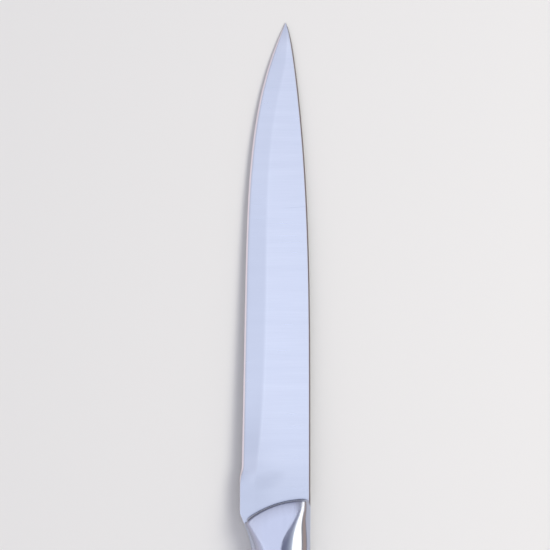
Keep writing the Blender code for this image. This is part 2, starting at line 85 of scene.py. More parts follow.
class Wire:
    """A node's output that can be reckoned with: each operator adds one Math node to its tree."""

    def __init__(self, socket):
        self.socket = socket

    @staticmethod
    def node(tree, kind, settings=None, inputs=None, output=0):
        """Add a node: first its settings, then the values or wires of its inputs. Gives one output."""
        made = tree.nodes.new(kind)
        for name, value in (settings or {}).items():
            if name == "stops":
                for place, colour in value[2:]:
                    made.color_ramp.elements.new(place)
                for stop, (place, colour) in zip(made.color_ramp.elements, value):
                    stop.position = place
                    stop.color = (*colour, 1)
            else:
                setattr(made, name, value)
        for name, value in (inputs or {}).items():
            for one in value if isinstance(value, list) else [value]:
                if isinstance(one, Wire):
                    tree.links.new(one.socket, made.inputs[name])
                else:
                    made.inputs[name].default_value = one
        return Wire(made.outputs[output]) if made.outputs else None

    def math(self, operation, *values, clamp=False):
        settings = {"operation": operation, "use_clamp": clamp}
        return Wire.node(self.socket.id_data, "ShaderNodeMath", settings, dict(enumerate(values)))

    def __add__(self, other):
        return self.math("ADD", self, other)

    def __radd__(self, other):
        return self.math("ADD", other, self)

    def __sub__(self, other):
        return self.math("SUBTRACT", self, other)

    def __rsub__(self, other):
        return self.math("SUBTRACT", other, self)

    def __mul__(self, other):
        return self.math("MULTIPLY", self, other)

    def __rmul__(self, other):
        return self.math("MULTIPLY", other, self)

    def __truediv__(self, other):
        return self.math("DIVIDE", self, other)

    def __rtruediv__(self, other):
        return self.math("DIVIDE", other, self)

    def __pow__(self, other):
        return self.math("POWER", self, other)

    def __neg__(self):
        return self.math("MULTIPLY", self, -1)

    def clamp(self):
        return self.math("ADD", self, 0, clamp=True)

    def ease(self, start, end):
        """Smooth step from 0 at start to 1 at end."""
        return Wire.node(self.socket.id_data, "ShaderNodeMapRange", {"interpolation_type": "SMOOTHSTEP"},
                         {0: self, 1: start, 2: end})


def mix(low, high, share):
    return low + (high - low) * share


def stretches(counter, steps):
    """Shares that rise from 0 to 1 one after another, as the counter passes each stretch of steps."""
    shares, start = {}, 0
    for name, count in steps.items():
        shares[name] = ((counter - start) / count).clamp()
        start += count
    return shares


blade_tree = bpy.data.node_groups.new("blade_ground_from_bar", "GeometryNodeTree")
blade_tree.interface.new_socket("Blade", in_out="OUTPUT", socket_type="NodeSocketGeometry")
for size_name in blade_sizes:
    blade_tree.interface.new_socket(size_name, in_out="INPUT", socket_type="NodeSocketFloat")
size = {name: Wire.node(blade_tree, "NodeGroupInput", output=name) for name in blade_sizes}

columns, rows = sum(across_blade.values()), sum(along_blade.values())
grid_point = Wire.node(blade_tree, "GeometryNodeInputPosition")
column = Wire.node(blade_tree, "ShaderNodeSeparateXYZ", None, {0: grid_point}, "X") + columns / 2
row = Wire.node(blade_tree, "ShaderNodeSeparateXYZ", None, {0: grid_point}, "Y") + rows / 2
over, on = stretches(column, across_blade), stretches(row, along_blade)

# Place along the blade, then its two outlines and its half thickness there
closing_turn = math.radians(80)     # the rows draw together towards the point as a sine of this turn does
closing = row.math("SINE", on["sweep"] * closing_turn) / math.sin(closing_turn)
y = (size["Tang length"] * (on["tang"] - 1) - size["Root inset"]
     + (size["Root inset"] - size["Chamfer run"]) * on["slot"] + size["Chamfer run"] * on["chamfer"]
     + size["Plunge start"] * on["heel"] + (size["Plunge end"] - size["Plunge start"]) * on["plunge"]
     + (size["Sweep start"] - size["Plunge end"]) * on["body"]
     + (size["Blade length"] - size["Sweep start"]) * closing)
sweep = ((y - size["Sweep start"]) / (size["Blade length"] - size["Sweep start"])).clamp()
drop = ((y - size["Spine drop start"]) / (size["Blade length"] - size["Spine drop start"])).clamp()
spine = (-size["Spine drop"] * drop ** size["Spine drop power"]
         - size["Nose drop"] * drop ** size["Nose power"])
tip_drop = size["Spine drop"] + size["Nose drop"]
straight = size["Edge slope"] * (y - size["Edge start"]) - size["Edge depth"]
straight_tip = size["Edge slope"] * (size["Blade length"] - size["Edge start"]) - size["Edge depth"]
ground_edge = straight - (tip_drop + straight_tip) * sweep ** size["Sweep power"]
chamfered = (-y / size["Chamfer run"]).clamp() * (size["Heel depth"] - size["Root depth"])
to_neck = ((y + size["Neck place"]) / (size["Neck place"] - size["Chamfer run"])).clamp()
in_slot = (size["Root depth"] - size["Neck depth"]) * (1 - to_neck ** size["Neck power"])
heel_edge = size["Heel slope"] * y.math("MAXIMUM", y, 0) - size["Heel depth"] + chamfered + in_slot
edge = mix(heel_edge, ground_edge, y.ease(size["Edge start"] - size["Edge step"], size["Edge start"]))
width = spine - edge
flat_half = mix(size["Heel thickness"], size["Tip thickness"], y / size["Blade length"]) / 2
half = y.math("SMOOTH_MIN", flat_half, size["Point slope"] * width, size["Point blend"])
thinned = half / flat_half

# Section across the blade, from the cutting edge over bevel, grind and flat to the rounded spine
grind_blend = 6                 # how closely the grind keeps to its full width before the blade narrows
least_rounding = 0.02           # share of the spine's rounding that is left in the slot
bite = y.ease(size["Plunge start"], size["Plunge end"])
bevel = mix(size["Heel corner"], size["Bevel width"], bite) * thinned
bevel_half = mix(half - size["Heel corner"], size["Bevel half"] * thinned, bite)
to_widest = ((size["Grind widest"] - y) / (size["Grind widest"] - size["Plunge end"])).clamp()
grind = mix(size["Grind at belly"], size["Grind at heel"], to_widest ** size["Grind rise"])
grind = mix(grind, size["Grind forward"], y.ease(size["Grind widest"], size["Grind narrowed"]))
widest = size["Grind share"] * width.math("MAXIMUM", width, 0)
grind = widest / (1 + (widest / grind) ** grind_blend) ** (1 / grind_blend)
rounded = y.ease(size["Spine round start"], size["Spine round full"]) + least_rounding
round_width = size["Spine round width"] * thinned * rounded
round_depth = y.math("MINIMUM", size["Spine round depth"] * rounded, size["Spine round share"] * half)
blade_x = (edge + bevel * over["bevel"] + (grind - bevel) * over["grind"]
           + (width - grind - round_width) * over["flat"] + round_width * over["chamfer"])
blade_z = (bevel_half * over["bevel"] + (half - bevel_half) * over["grind"]
           - round_depth * over["chamfer"] - (half - round_depth) * over["land"])

# The tang is a plain bar behind the root, closed at its end
tang_x = size["Tang depth"] * (((column - 1) / (columns - 2)).clamp() - 0.5) - size["Tang middle"]
tang_z = size["Tang thickness"] / 2 * column.clamp() * (columns - column).clamp() * on["end"]
skin_x, skin_z = mix(tang_x, blade_x, on["root"]), mix(tang_z, blade_z, on["root"])

sheet = Wire.node(blade_tree, "GeometryNodeMeshGrid", None,
                  {"Size X": columns, "Size Y": rows, "Vertices X": columns + 1, "Vertices Y": rows + 1})
sheet = Wire.node(blade_tree, "GeometryNodeSetShadeSmooth", {"domain": "FACE"}, {0: sheet, 2: True})
edge_ends = [Wire.node(blade_tree, "GeometryNodeInputMeshEdgeVertices", output=end)
             for end in ("Position 1", "Position 2")]
end_columns = [Wire.node(blade_tree, "ShaderNodeSeparateXYZ", None, {0: end}, "X") + columns / 2
               for end in edge_ends]
crisp = sum(end_columns[0].math("COMPARE", end_columns[0], line, 0.25)
            * end_columns[1].math("COMPARE", end_columns[1], line, 0.25)
            for line in (0, across_blade["bevel"], across_blade["bevel"] + across_blade["grind"],
                         columns - 2 - across_blade["chamfer"], columns - 2))
sheet = Wire.node(blade_tree, "GeometryNodeSetShadeSmooth", {"domain": "EDGE"},
                  {0: sheet, 1: crisp, 2: False})
out_of_slot = y.ease(-1.2 * size["Chamfer run"], -0.8 * size["Chamfer run"])
# Zones for the blade's colour: the spine's rounding gets painted shade, the bevel a painted highlight, the
# bevel's shoulder a dark line and the grind face a darker tone.
for zone, share in (("spine", (over["chamfer"] * 3).clamp()),
                    ("bevel", (1 - over["bevel"]) * out_of_slot),
                    ("bevel_line", over["bevel"] ** 8 * (1 - over["grind"] * 12).clamp() * bite),
                    ("grind", over["bevel"] * ((1 - over["grind"]) * 6).clamp() * bite)):
    sheet = Wire.node(blade_tree, "GeometryNodeStoreNamedAttribute",
                      {"data_type": "FLOAT", "domain": "POINT"},
                      {"Geometry": sheet, "Name": zone, "Value": share})
skin = Wire.node(blade_tree, "ShaderNodeCombineXYZ", None, {0: skin_x, 1: y, 2: skin_z})
left_side = Wire.node(blade_tree, "GeometryNodeSetPosition", None, {"Geometry": sheet, "Position": skin})
right_side = Wire.node(blade_tree, "GeometryNodeTransform", None,
                       {"Geometry": left_side, "Scale": (1, 1, -1)})
right_side = Wire.node(blade_tree, "GeometryNodeFlipFaces", None, {0: right_side})
whole = Wire.node(blade_tree, "GeometryNodeJoinGeometry", None, {0: [left_side, right_side]})
whole = Wire.node(blade_tree, "GeometryNodeMergeByDistance", None, {"Geometry": whole, "Distance": 1e-7})
whole = Wire.node(blade_tree, "GeometryNodeRealizeInstances", None, {0: whole})


def knife_place(tree):
    """Wires of x, y and z in the knife's own frame, as it was before it was laid down."""
    laid = Wire.node(tree, "ShaderNodeTexCoord", output="Object")
    upright = Wire.node(tree, "ShaderNodeMapping", {"vector_type": "TEXTURE"},
                        {"Vector": laid, "Location": rest_place, "Rotation": (-rest_turn, 0, 0)})
    return [Wire.node(tree, "ShaderNodeSeparateXYZ", None, {0: upright}, axis) for axis in "XYZ"]


def streaks(tree, place, waves, detail=2.0):
    """Noise from 0 to 1 with that many waves a metre along x, y and z."""
    at = Wire.node(tree, "ShaderNodeCombineXYZ", None, {k: place[k] * waves[k] for k in range(3)})
    return Wire.node(tree, "ShaderNodeTexNoise", None, {"Vector": at, "Scale": 1.0, "Detail": detail})


def new_material(name):
    """A material with its shader node, and its tree."""
    material = bpy.data.materials.new(name)
    material.use_nodes = True
    return material, material.node_tree, material.node_tree.nodes["Principled BSDF"]


def feed(tree, shader, inputs):
    """Give the shader values or wires."""
    for name, value in inputs.items():
        if isinstance(value, Wire):
            tree.links.new(value.socket, shader.inputs[name])
        else:
            shader.inputs[name].default_value = value


def blend(tree, share, low, high):
    """Colour between two colours or colour wires."""
    low, high = [c if isinstance(c, Wire) else (*c, 1) for c in (low, high)]
    return Wire.node(tree, "ShaderNodeMix", {"data_type": "RGBA"}, {0: share, 6: low, 7: high}, 2)


def bumped(tree, height, depth):
    """Normal from a height between 0 and 1 that stands for that depth in metres."""
    return Wire.node(tree, "ShaderNodeBump", None, {"Strength": 1.0, "Distance": depth, "Height": height})


# Satin steel tones, and the darker satin for the grind face and the painted heel shade.
satin_low, satin_high, satin_darker = (0.530, 0.577, 0.698), (0.690, 0.735, 0.848), (0.475, 0.520, 0.630)
# A dark line at the bevel's shoulder, the painted highlight on the bevel and the painted shade on the
# spine's rounding.
bevel_dark, painted_bevel_highlight, painted_spine_shade = (0.38, 0.40, 0.46), (0.90, 0.83, 0.85), (0.30, 0.29, 0.33)
# Place and size of the painted shade at the plunge, and of a faint scratch near the point.
plunge_shade_x, plunge_shade_y, plunge_shade_lean, plunge_shade_wide, plunge_shade_long = -0.0170, 0.0138, 0.25, 0.0075, 0.0042
scratch_x, scratch_y, scratch_lean, scratch_half = -0.005, 0.1265, 0.09, 0.00022

blade_steel, tree, shader = new_material("satin_blade_steel")
x, along, z = place = knife_place(tree)
belt = streaks(tree, place, (60, 1900, 60), 3.0)
belt_bands = streaks(tree, place, (22, 300, 22))
handling = streaks(tree, place, (38, 26, 30), 1.0)
rubbed = streaks(tree, (x, along - 0.25 * x, z), (110, 420, 110), 3.0)
# Painted shade: a darker streaky patch at the end of the plunge, which is also a little rougher.
plunge_shade_reach = (((x - plunge_shade_x) / plunge_shade_wide) ** 2
                + ((along - plunge_shade_y - (x - plunge_shade_x) * plunge_shade_lean) / plunge_shade_long) ** 2)
painted_plunge_shade = (1 - plunge_shade_reach).clamp() * (0.2 + 0.9 * rubbed)
scratch_off = (along - scratch_y - scratch_lean * (x - scratch_x)) / scratch_half
scratch = (1 - scratch_off ** 2).clamp() * x.ease(-0.013, -0.007)
spine_edge, bevelled, bevel_line, ground = [
    Wire.node(tree, "ShaderNodeAttribute", {"attribute_name": zone}, output="Fac")
    for zone in ("spine", "bevel", "bevel_line", "grind")]
bevelled = bevelled.ease(0.0, 0.15)
# Painted shade: darker near the heel, most towards the edge, and more within the first 24 mm by the
# bolster.
painted_heel_shade = ((1 - 0.5 * x.ease(-0.024, -0.012)) * (0.56 - 0.56 * along.ease(0.006, 0.055))
             + 0.24 * (1 - along.ease(0.008, 0.024)))
tone = (0.58 + 0.42 * (belt - 0.5) + 0.40 * (belt_bands - 0.5) + 0.35 * (handling - 0.5)
        - 0.44 * painted_plunge_shade - 0.35 * scratch + 0.6 * along.ease(0.186, 0.200)).clamp()
steel = blend(tree, tone, satin_low, satin_high)
# Darker on the grind face from about 12 mm on, less from 100 mm on, and with the painted heel shade.
darker_grind_and_heel_shade = (0.66 * ground * (along.ease(0.012, 0.032) - 0.45 * along.ease(0.10, 0.17)) + painted_heel_shade).clamp()
steel = blend(tree, darker_grind_and_heel_shade, steel, satin_darker)
steel = blend(tree, 0.7 * bevel_line, steel, bevel_dark)
# Painted highlight: the edge bevel is painted light and pinkish; it is also rougher.
steel = blend(tree, bevelled, steel, painted_bevel_highlight)
feed(tree, shader, {
    # Painted shade: the spine's rounding is painted dark.
    "Base Color": blend(tree, spine_edge, steel, painted_spine_shade), "Metallic": 1.0,
    "Roughness": (0.30 + 0.10 * (belt - 0.5) + 0.08 * (handling - 0.5) + 0.05 * painted_plunge_shade
                  + 0.12 * bevelled).clamp(),
    "Normal": bumped(tree, 0.7 * belt + 0.3 * belt_bands, 0.000004)})
whole = Wire.node(blade_tree, "GeometryNodeSetMaterial", None, {"Geometry": whole, "Material": blade_steel})
Wire.node(blade_tree, "NodeGroupOutput", None, {0: whole})


def new_piece(name, mesh):
    piece = bpy.data.objects.new(name, mesh)
    bpy.context.scene.collection.objects.link(piece)
    return piece


def settle(piece):
    """Turn the modifiers into plain mesh and take them off."""
    shaped = piece.evaluated_get(bpy.context.evaluated_depsgraph_get())
    mesh = bpy.data.meshes.new_from_object(shaped)
    piece.modifiers.clear()
    piece.data = mesh


def hand_over(piece, node):
    """Lay the piece down where the knife rests and let it stand for its node."""
    piece.data.transform(Matrix.Translation(rest_place) @ Matrix.Rotation(-rest_turn, 4, "X"))
    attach(piece, "root")
    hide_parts(node)


ground_blade = new_piece("ground_blade", bpy.data.meshes.new("ground_blade"))
maker = ground_blade.modifiers.new("blade_maker", "NODES")
maker.node_group = blade_tree
for item in blade_tree.interface.items_tree:
    if item.in_out == "INPUT":
        maker[item.identifier] = blade_sizes[item.name]
settle(ground_blade)
if ground_blade.data.materials[0] is None:
    ground_blade.data.materials.pop(index=0)
hand_over(ground_blade, "blade")


# Bolster
# A cast steel collar, welded to the handle and fitted over the root of the blade. Its front is an arc
# with a rounded shoulder, its sides are flat satin facets, and its back and belly are polished round.

# The handle's lengths and depths, from the bolster's front to the butt
bolster_joint_y, waist_y, cap_joint_y, butt_y = -0.029, -0.098, -0.118, -0.129
crown_y, crown_x, front_fall, front_wrap, wrap_power = 0.0060, -0.0025, 0.00855, 0.0009, 24
neck_depth, root_depth, palm_depth, waist_depth, butt_depth = 0.0233, 0.0273, 0.0254, 0.0231, 0.0272
waist_dip = 0.0004

# Its section: the round belly, the flat facet, the crease and the back
belly_bow = 0.0003
belly_round_front, belly_round_rear, belly_swell_start, belly_swell_run = 0.0016, 0.0058, -0.0020, 0.0145
belly_lead = 0.35               # how slowly the facet runs into the belly's rounding, in roundings
facet_front_y, facet_rear_y, front_thinning, waist_thinning = -0.049, -0.079, 0.0008, 0.0017
crease_front, crease_depth, crease_palm, crease_start, crease_run = 0.0052, 0.0124, 0.0096, 0.0030, 0.0180
back_arc_front, back_arc_rear = math.radians(88), math.radians(70)
crown_fill, crown_fill_start, crown_fill_run = 0.0034, -0.0036, 0.0104
belly_steps, facet_steps, back_steps = 14, 14, 26

# The bolster's shoulder, and how the pieces fit
shoulder, shoulder_belly, shoulder_back, lead_in, lead_turn = 0.00122, 0.0023, 0.0018, 34.0, 0.14
belly_corner = 0.12             # share of the shoulder's rounding that is left under the belly
shoulder_steps, front_tries, neck_steps, spigot_steps = 24, 24, 60, 5
wall, fit_gap, seam_gap, spigot_length = 0.0012, 0.0003, 0.00006, 0.0080
slot_clearance, tang_clearance = 0.00003, 0.0001


def eased(t):
    t = min(max(t, 0.0), 1.0)
    return t * t * (3 - 2 * t)


def turned(at, front, rear):
    """Smoother step from 0 in front to 1 behind."""
    t = min(max((front - at) / (front - rear), 0.0), 1.0)
    return t * t * t * (t * (6 * t - 15) + 10)


def belly_line(at):
    flare = max((at - bolster_joint_y) / (-blade_sizes["Chamfer run"] - bolster_joint_y), 0) ** 2.5
    return -(mix(neck_depth, root_depth, flare)
             + (palm_depth - neck_depth) * turned(at, bolster_joint_y, palm_y)
             + (waist_depth - palm_depth) * turned(at, palm_y, waist_y)
             + (butt_depth - waist_depth) * turned(at, waist_y, cap_joint_y))


def back_line(at):
    return (palm_arch * turned(at, bolster_joint_y, palm_y)
            - (palm_arch + waist_dip) * turned(at, palm_y, waist_y)
            + waist_dip * turned(at, waist_y, cap_joint_y))


def crease_line(at):
    depth = mix(crease_front, crease_depth, eased((crease_start - at) / crease_run))
    drift = turned(at, bolster_joint_y, palm_y) - turned(at, waist_y, cap_joint_y)
    return -depth + (crease_depth - crease_palm) * drift


def side_half(at):
    """Half thickness of the handle at its facets."""
    to_front = max(at - facet_front_y, 0) / (crown_y - facet_front_y)
    return (palm_half - rest_slope * (at - palm_y) - front_thinning * to_front ** 2
            - waist_thinning * turned(at, facet_rear_y, waist_y))


def handle_section(at, inset=0.0):
    """Left half of the handle's outline, (x, z) from the belly over the facet and round the back."""
    half, belly, back, crease = side_half(at), belly_line(at), back_line(at), crease_line(at)
    corner = mix(belly_round_front, belly_round_rear, eased((belly_swell_start - at) / belly_swell_run))
    turns = [math.pi / 2 * k / belly_steps for k in range(belly_steps + 1)]
    line = [(belly, 0.0)] + [(belly + corner * (1 - math.cos(t) + belly_lead * (2 * t / math.pi) ** 8),
                              half - corner * (1 - math.sin(t))) for t in turns]
    line = [(px + belly_bow * (pz / half) ** 2, pz) for px, pz in line]
    line += [(mix(line[-1][0], crease, k / facet_steps), half) for k in range(1, facet_steps)]
    back_arc = mix(back_arc_front, back_arc_rear, eased((crease_start - at) / crease_run))
    fill = crown_fill * eased((at - crown_fill_start) / crown_fill_run)
    depth, height = (back - crease) / (1 - math.cos(back_arc)), (half - fill) / math.sin(back_arc)
    for k in range(back_steps + 1):
        t = back_arc * (1 - k / back_steps)
        line.append((back - depth * (1 - math.cos(t)),
                     height * math.sin(t) + fill * (1 - (k / back_steps) ** 4)))
    if inset:
        line = np.array(line)
        steps = np.diff(line, axis=0)
        steps /= np.linalg.norm(steps, axis=1)[:, None]
        normals = np.stack((steps[:, 1], -steps[:, 0]), axis=1)
        corners = normals[:-1] + normals[1:]
        corners *= (inset / (1 + (normals[:-1] * normals[1:]).sum(axis=1)))[:, None]
        line[1:-1] += corners
        line[0, 0] += inset
        line[-1, 0] -= inset
    return line


def drawn_in(at, amount):
    """The section scaled towards its middle, so that its outline moves in by about that amount."""
    middle = (belly_line(at) + back_line(at)) / 2
    across, up = 1 - amount / (back_line(at) - middle), 1 - amount / side_half(at)
    return [(middle + (px - middle) * across, pz * up) for px, pz in handle_section(at)]


def rows_at(places, inset=0.0):
    return [[(px, float(at), pz) for px, pz in handle_section(float(at), inset)] for at in places]


def skinned(name, rings, material, close_front=False, close_rear=False, polished=(), rubbed=()):
    """Skin sections from front to rear; polished is given by columns or by rings, the painted shade by
    rings.
    """
    count, width = len(rings), len(rings[0])
    faces = [(i * width + j, (i + 1) * width + j, (i + 1) * width + j + 1, i * width + j + 1)
             for i in range(count - 1) for j in range(width - 1)]
    if close_front:
        faces.append(tuple(range(width)))
    if close_rear:
        faces.append(tuple(range(count * width - 1, (count - 1) * width - 1, -1)))
    mesh = bpy.data.meshes.new(name)
    mesh.from_pydata([point for ring in rings for point in ring], [], faces)
    if polished:
        shares = polished if isinstance(polished[0], list) else [list(polished)] * count
        mesh.attributes.new("polished", "FLOAT", "POINT").data.foreach_set("value", sum(shares, []))
    if rubbed:
        mesh.attributes.new("rubbed", "FLOAT", "POINT").data.foreach_set("value", np.repeat(rubbed, width))
    mesh.materials.append(material)
    return new_piece(name, mesh)


def whole_from_half(piece):
    """Mirror over the mid plane and merge along it."""
    mirror = piece.modifiers.new("other_side", "MIRROR")
    mirror.use_axis = (False, False, True)
    mirror.merge_threshold = 0.00001
    settle(piece)


def block(name, low, high):
    """A plain cutting block between two corners."""
    corners = [(px, py, pz) for px in (low[0], high[0]) for py in (low[1], high[1])
               for pz in (low[2], high[2])]
    mesh = bpy.data.meshes.new(name)
    mesh.from_pydata(corners, [], [(0, 1, 3, 2), (4, 6, 7, 5), (0, 4, 5, 1), (2, 3, 7, 6), (0, 2, 6, 4),
                                   (1, 5, 7, 3)])
    return new_piece(name, mesh)


def cut(piece, *cutters):
    """Take the cutters out of the piece and throw them away."""
    for k, cutter in enumerate(cutters):
        boolean = piece.modifiers.new(f"cut_{k}", "BOOLEAN")
        boolean.operation, boolean.solver, boolean.object = "DIFFERENCE", "EXACT", cutter
        settle(piece)
        bpy.data.objects.remove(cutter, do_unlink=True)


crisp_turn = math.radians(9)


def soften(piece):
    """Smooth shading, crisp where faces meet at more than that turn."""
    piece.data.shade_smooth()
    piece.data.set_sharp_from_angle(angle=crisp_turn)


# Satin facet tones, and the colour of the painted shade on the bolster's front shoulder.
facet_low, facet_high, painted_shoulder_shade = (0.450, 0.485, 0.605), (0.548, 0.583, 0.712), (0.30, 0.29, 0.32)


def handle_steel(name, seed):
    """Stainless steel that is satin on the facets and polished where the attribute says so, with painted
    shade where its attribute says so.
    """
    material, tree, shader = new_material(name)
    place = knife_place(tree)
    polished, rubbed = [Wire.node(tree, "ShaderNodeAttribute", {"attribute_name": zone}, output="Fac")
                        for zone in ("polished", "rubbed")]
    place = [place[0] + seed, place[1], place[2]]
    belt = streaks(tree, place, (1500, 60, 600), 3.0)
    buffing = streaks(tree, place, (420, 30, 420))
    handling = streaks(tree, place, (45, 38, 45), 1.0)
    tone = (0.55 + (0.40 * (belt - 0.5) + 0.30 * (buffing - 0.5)) * (1 - 0.7 * polished)
            + 0.30 * (handling - 0.5)).clamp()
    rough = mix(0.25 + 0.09 * (belt - 0.5), 0.10 + 0.03 * (buffing - 0.5), polished)
    steel = blend(tree, tone, facet_low, facet_high)
    feed(tree, shader, {
        "Base Color": blend(tree, 0.22 * rubbed * (1 - polished), steel, painted_shoulder_shade), "Metallic": 1.0,
        "Roughness": (rough + 0.07 * (handling - 0.5)).clamp(),
        "Normal": bumped(tree, belt * (1 - 0.8 * polished), 0.000003)})
    return material


def polish_at(at):
    """How far each column is polished: round the belly and on the back, less beside the crown."""
    crease_blur = 1 + 15 * (1 - eased((crease_start - at) / crease_run))
    crowned = eased((at - crown_fill_start) / crown_fill_run)
    belly_shine = [0.6] + [0.6 * (1 - eased(2 * k / belly_steps)) for k in range(belly_steps + 1)]
    back_shine = [mix(-0.8 * crowned, 1 - 0.65 * crowned, min(k / crease_blur, 1.0))
                  for k in range(back_steps + 1)]
    return belly_shine + [0.0] * (facet_steps - 1) + back_shine


polished_columns = polish_at(bolster_joint_y)
shoulder_starts, shoulder_rounds = [], []
for j in range(len(polished_columns)):
    start = 0.0
    for _ in range(front_tries):
        reach = (crown_x - handle_section(start)[j][0]) / (root_depth + crown_x)
        start = crown_y - front_fall * reach ** 2 - front_wrap * reach ** wrap_power
    to_spine = max(1 + handle_section(start)[j][0] / root_depth, 0)
    shoulder_starts.append(start)
    shoulder_rounds.append(shoulder + (shoulder_belly - shoulder) * reach ** 4
                           + (shoulder_back - shoulder) * to_spine ** 3)

# Way over the shoulder for a round of 1: the facet bends down slowly before the round itself
way = [(0.0, 0.0)]
bends = [math.pi / 2 * (k / shoulder_steps) ** 2 for k in range(shoulder_steps + 1)]
for before, after in zip(bends, bends[1:]):
    bend = (before + after) / 2
    stride = (1 + lead_in * max(1 - (bend / lead_turn) ** 4, 0)) * (after - before)
    way.append((way[-1][0] + stride * math.cos(bend), way[-1][1] + stride * math.sin(bend)))
shoulder_reach = way[-1][0]


def slanted_row(back_off, inset):
    """A row along the arc of the front, moved back and inwards by so many of each column's rounds."""
    ring = []
    for j, (begin, bend_round) in enumerate(zip(shoulder_starts, shoulder_rounds)):
        at = begin - bend_round * back_off
        share = mix(belly_corner, 1.0, eased(j / belly_steps))
        px, pz = handle_section(at, bend_round * inset * share)[j]
        ring.append((px, at, pz))
    return ring


rings = [slanted_row(shoulder_reach - forward, lowered) for forward, lowered in way[::-1]]
rings.insert(0, [(px, py, 0.0) for px, py, pz in rings[0]])
# Painted shade over the bolster's front: full on the front wall and the shoulder's round, fading out along
# the lead-in onto the facet.
shoulder_shade_rings = [1.0] + [min(forward / (shoulder_reach - 1), 1.0) for forward, lowered in way[::-1]]
for k in range(1, neck_steps + 1):
    ring = []
    for j, (begin, bend_round) in enumerate(zip(shoulder_starts, shoulder_rounds)):
        at = mix(begin - bend_round * shoulder_reach, bolster_joint_y, k / neck_steps)
        px, pz = handle_section(at)[j]
        ring.append((px, at, pz))
    rings.append(ring)
spigot_end_y = bolster_joint_y - spigot_length
rings += rows_at(np.linspace(bolster_joint_y, spigot_end_y, spigot_steps), wall + fit_gap)
polished_rings = [[polish_at(py)[j] for j, (px, py, pz) in enumerate(ring)] for ring in rings]
cast_bolster = skinned("cast_bolster", rings, handle_steel("bolster_steel", 0.0), close_rear=True,
                       polished=polished_rings,
                       rubbed=shoulder_shade_rings + [0.0] * (len(rings) - len(shoulder_shade_rings)))
whole_from_half(cast_bolster)
slot_half = blade_sizes["Heel thickness"] / 2 + slot_clearance
tang_reach = blade_sizes["Tang depth"] / 2 + tang_clearance
tang_half = blade_sizes["Tang thickness"] / 2 + tang_clearance
slot_rear = -blade_sizes["Root inset"] - tang_clearance
cut(cast_bolster, block("blade_slot", (-0.035, slot_rear, -slot_half), (0.005, 0.012, slot_half)),
    block("tang_slot", (-blade_sizes["Tang middle"] - tang_reach, spigot_end_y - 0.005, -tang_half),
          (-blade_sizes["Tang middle"] + tang_reach, slot_rear + 0.001, tang_half)))
soften(cast_bolster)
hand_over(cast_bolster, "bolster")


# Handle shells
# Two half shells pressed from sheet steel, welded along the back and the belly, ground flush and then
# satin finished on the palm facets. They slide over the spigots of the bolster and of the butt cap.

shell_rows = 181

for shell_name, node, side, seed in (("left_pressed_shell", "left_handle_shell", 1, 0.11),
                                     ("right_pressed_shell", "right_handle_shell", -1, 0.23)):
    rings = rows_at(np.linspace(bolster_joint_y - seam_gap, cap_joint_y + seam_gap, shell_rows))
    for ring in rings:
        ring[0] = (ring[0][0], ring[0][1], seam_gap / 2)
        ring[-1] = (ring[-1][0], ring[-1][1], seam_gap / 2)
    rings = [[(px, py, pz * side) for px, py, pz in ring][::side] for ring in rings]
    shell = skinned(shell_name, rings, handle_steel(shell_name + "_steel", seed),
                    polished=polished_columns[::side])
    thickness = shell.modifiers.new("sheet", "SOLIDIFY")
    thickness.thickness, thickness.offset, thickness.use_even_offset = wall, -1, True
    settle(shell)
    soften(shell)
    hand_over(shell, node)


# Butt cap
# A thin-walled steel casting that closes the handle. Its spigot sits inside the shells, the joint is
# welded and ground flush, and its end is rounded and polished.

cap_spigot_y, cap_round, cap_wall, cap_steps = -0.113, 0.0045, 0.0018, 16
rings = rows_at(np.linspace(cap_spigot_y, cap_joint_y, spigot_steps), wall + fit_gap)
rings += rows_at([cap_joint_y]) + rows_at(np.linspace(cap_joint_y, butt_y + cap_round, cap_steps)[1:])
for k in range(1, cap_steps + 1):
    bend = math.pi / 2 * k / cap_steps
    at = butt_y + cap_round * (1 - math.sin(bend))
    rings.append([(px, at, pz) for px, pz in drawn_in(at, cap_round * (1 - math.cos(bend)))])
hollow_butt_cap = skinned("hollow_butt_cap", rings, handle_steel("cap_steel", 0.37), True, True,
                          polished_columns)
whole_from_half(hollow_butt_cap)
hollow_rings = [[(px, at, pz) for px, pz in drawn_in(at, amount)] for at, amount in (
    (cap_spigot_y + 0.005, wall + fit_gap + cap_wall), (cap_joint_y - cap_wall, wall + fit_gap + cap_wall),
    (butt_y + cap_wall, cap_round + cap_wall))]
hollow = skinned("cap_hollow", hollow_rings, blade_steel, True, True)
whole_from_half(hollow)
cut(hollow_butt_cap, hollow)
soften(hollow_butt_cap)
hand_over(hollow_butt_cap, "butt_cap")


# Filling of the handle
# Cast resin beds the tang, packed sand behind it gives the handle its weight, and a rubber plug keeps
# the sand in. All three are closed in by the steel, and their solids have the right shape already.

resin, tree, shader = new_material("cast_bedding_resin")
place = knife_place(tree)
at = Wire.node(tree, "ShaderNodeCombineXYZ", None, dict(enumerate(place)))
flow = streaks(tree, place, (160, 90, 160), 4.0)
bubble = Wire.node(tree, "ShaderNodeTexVoronoi", None, {"Vector": at, "Scale": 900.0})
bubbles = (0.28 - bubble).clamp() * 3
feed(tree, shader, {
    "Base Color": blend(tree, (flow - 0.5 * bubbles).clamp(), (0.20, 0.145, 0.075), (0.42, 0.34, 0.21)),
    "Roughness": (0.42 + 0.3 * flow).clamp(), "Normal": bumped(tree, flow - bubbles, 0.00008)})

